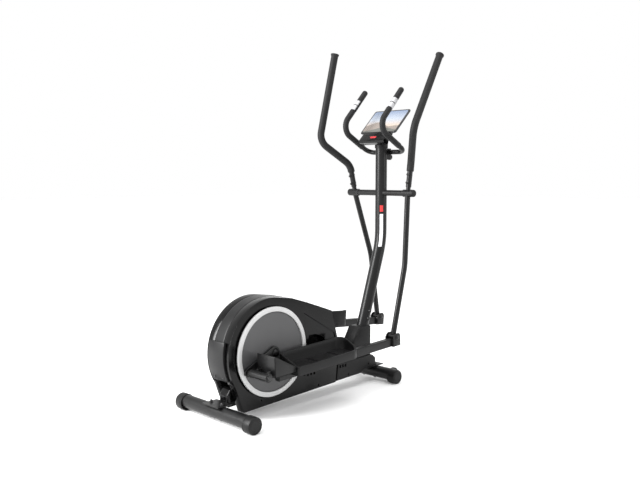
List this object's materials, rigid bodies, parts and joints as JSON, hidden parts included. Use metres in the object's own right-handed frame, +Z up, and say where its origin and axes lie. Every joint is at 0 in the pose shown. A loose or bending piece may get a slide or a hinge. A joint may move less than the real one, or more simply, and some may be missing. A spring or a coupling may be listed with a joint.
{
  "type": "elliptical trainer",
  "caption": "Elliptical cross trainer with rear crank discs, foot trays on linked arms, swinging handles and a tablet console on a curved mast.",
  "frame": {"origin": "on the floor, under the middle of the machine", "axes": "+X towards the mast, +Y to the user left, +Z up"},
  "size_m": [1.3428, 0.5544, 1.7009],
  "materials": {
    "frame_paint": "satin black powder coat",
    "gloss_shell": "polished black",
    "satin_shell": "fine textured black",
    "disc_grey": "dark grey with a silver rim",
    "foam": "soft closed-cell foam",
    "silver": "bright plated",
    "steel": "turned",
    "zinc_black": "black zinc",
    "bush": "nylon",
    "pulley": "glass filled nylon",
    "belt": "ribbed",
    "iron": "machined rim",
    "tray": "ribbed anti-slip",
    "screen": "glass front",
    "red": "glossy red"
  },
  "bodies": {
    "frame": {"main_frame": "frame_paint", "rear_stabiliser": "frame_paint", "front_stabiliser": "frame_paint", "stabiliser_bolts": "zinc_black", "front_caps": "satin_shell", "mast": "frame_paint", "mast_bolts": "zinc_black", "crossbar": "frame_paint", "crossbar_caps": "satin_shell", "axle_bearings": "steel", "drive_belt": "belt", "brake_motor": "pulley", "housing_right": "gloss_shell", "housing_left": "gloss_shell", "housing_strip": "satin_shell", "rear_guard": "gloss_shell", "rear_end_cover": "satin_shell", "front_cover_right": "gloss_shell", "front_cover_left": "gloss_shell", "power_inlet": "bush", "handlebar_clamp": "satin_shell", "console_shell": "satin_shell", "console_lip": "gloss_shell"},
    "crank": {"crank_axle": "steel", "crank_right": "frame_paint", "crank_left": "frame_paint", "disc_right": "disc_grey", "disc_left": "disc_grey", "drive_pulley": "pulley"},
    "flywheel": {"flywheel": "iron", "flywheel_axle": "steel"},
    "idler_arm": {"idler_arm": "zinc_black"},
    "idler_pulley": {"idler_pulley": "pulley"},
    "brake_bracket": {"brake_bracket": "zinc_black"},
    "right_leveller": {"leveller_right": "satin_shell"},
    "left_leveller": {"leveller_left": "satin_shell"},
    "right_wheel": {"transport_wheel_right": "bush"},
    "left_wheel": {"transport_wheel_left": "bush"},
    "right_arm": {"swing_arm_right": "frame_paint", "hub_bushes_right": "bush", "handle_right": "frame_paint", "grip_right": "foam", "handle_bolts_right": "zinc_black"},
    "right_pedal": {"pedal_arm_right": "frame_paint", "tray_right": "tray", "pedal_bolts_right": "zinc_black"},
    "left_arm": {"swing_arm_left": "frame_paint", "hub_bushes_left": "bush", "handle_left": "frame_paint", "grip_left": "foam", "handle_bolts_left": "zinc_black"},
    "left_pedal": {"pedal_arm_left": "frame_paint", "tray_left": "tray", "pedal_bolts_left": "zinc_black"},
    "handlebar": {"handlebar": "frame_paint", "handlebar_grips": "foam", "pulse_sensors": "silver"},
    "clamp_knob": {"clamp_knob": "satin_shell"},
    "console_key": {"console_key": "red"},
    "tablet": {"tablet": "screen"}
  },
  "joints": [
    {"name": "crank_turn", "type": "hinge", "parent": "frame", "child": "crank", "pos_m": [-0.3844, 0, 0.2785], "axis": [0, 1, 0], "range_deg": [0, 180]},
    {"name": "flywheel_spin", "type": "hinge", "parent": "frame", "child": "flywheel", "pos_m": [-0.1494, 0, 0.3], "axis": [0, 1, 0], "continuous": true},
    {"name": "idler_arm_swing", "type": "hinge", "parent": "frame", "child": "idler_arm", "pos_m": [-0.1844, 0, 0.16], "axis": [0, 1, 0], "range_deg": [0, 6], "stiffness_Nm_per_rad": 20, "springref_deg": -8.59},
    {"name": "idler_pulley_spin", "type": "hinge", "parent": "idler_arm", "child": "idler_pulley", "pos_m": [-0.19316, 0, 0.21794], "axis": [0, 1, 0], "continuous": true},
    {"name": "brake_bracket_swing", "type": "hinge", "parent": "frame", "child": "brake_bracket", "pos_m": [-0.07945, 0, 0.18806], "axis": [0, 1, 0], "range_deg": [0, 8]},
    {"name": "right_leveller_turn", "type": "hinge", "parent": "frame", "child": "right_leveller", "pos_m": [-0.6339, 0, 0.0425], "axis": [0, 1, 0], "range_deg": [-90, 90]},
    {"name": "left_leveller_turn", "type": "hinge", "parent": "frame", "child": "left_leveller", "pos_m": [-0.6339, 0, 0.0425], "axis": [0, 1, 0], "range_deg": [-90, 90]},
    {"name": "right_wheel_roll", "type": "hinge", "parent": "frame", "child": "right_wheel", "pos_m": [0.4376, 0, 0.035], "axis": [0, 1, 0], "continuous": true},
    {"name": "left_wheel_roll", "type": "hinge", "parent": "frame", "child": "left_wheel", "pos_m": [0.4376, 0, 0.035], "axis": [0, 1, 0], "continuous": true},
    {"name": "right_arm_swing", "type": "hinge", "parent": "frame", "child": "right_arm", "pos_m": [0.4521, 0, 0.97], "axis": [0, 1, 0], "range_deg": [-23.93, 0]},
    {"name": "left_arm_swing", "type": "hinge", "parent": "frame", "child": "left_arm", "pos_m": [0.4521, 0, 0.97], "axis": [0, 1, 0], "range_deg": [0, 23.93]},
    {"name": "right_pedal_pivot", "type": "hinge", "parent": "right_arm", "child": "right_pedal", "pos_m": [0.34348, -0.18, 0.25015], "axis": [0, 1, 0], "range_deg": [0, 31.17]},
    {"name": "left_pedal_pivot", "type": "hinge", "parent": "left_arm", "child": "left_pedal", "pos_m": [0.64478, 0.18, 0.26796], "axis": [0, 1, 0], "range_deg": [-31.17, 0]},
    {"name": "handlebar_tilt", "type": "hinge", "parent": "frame", "child": "handlebar", "pos_m": [0.5001, 0, 1.182], "axis": [0, 1, 0], "range_deg": [-8, 8]},
    {"name": "clamp_knob_turn", "type": "hinge", "parent": "frame", "child": "clamp_knob", "pos_m": [0.5196, 0, 1.157], "axis": [1, 0, 0], "range_deg": [-180, 180]},
    {"name": "console_key_press", "type": "slide", "parent": "frame", "child": "console_key", "axis": [0.7, 0, -0.7141], "range_m": [0, 0.0018], "stiffness_N_per_m": 900, "springref_m": -0.0008},
    {"name": "tablet_lift", "type": "slide", "parent": "frame", "child": "tablet", "axis": [0.7157, 0, 0.6984], "range_m": [0, 0.18]}
  ],
  "couplings": [
    {"joint": "flywheel_spin", "follows": "crank_turn", "ratio": 5.2},
    {"joint": "idler_pulley_spin", "follows": "crank_turn", "ratio": -7.3889},
    {"joint": "right_arm_swing", "follows": "crank_turn", "ratio": -0.13294},
    {"joint": "left_arm_swing", "follows": "crank_turn", "ratio": 0.13294},
    {"joint": "right_pedal_pivot", "follows": "crank_turn", "ratio": 0.17315},
    {"joint": "left_pedal_pivot", "follows": "crank_turn", "ratio": -0.17315}
  ]
}
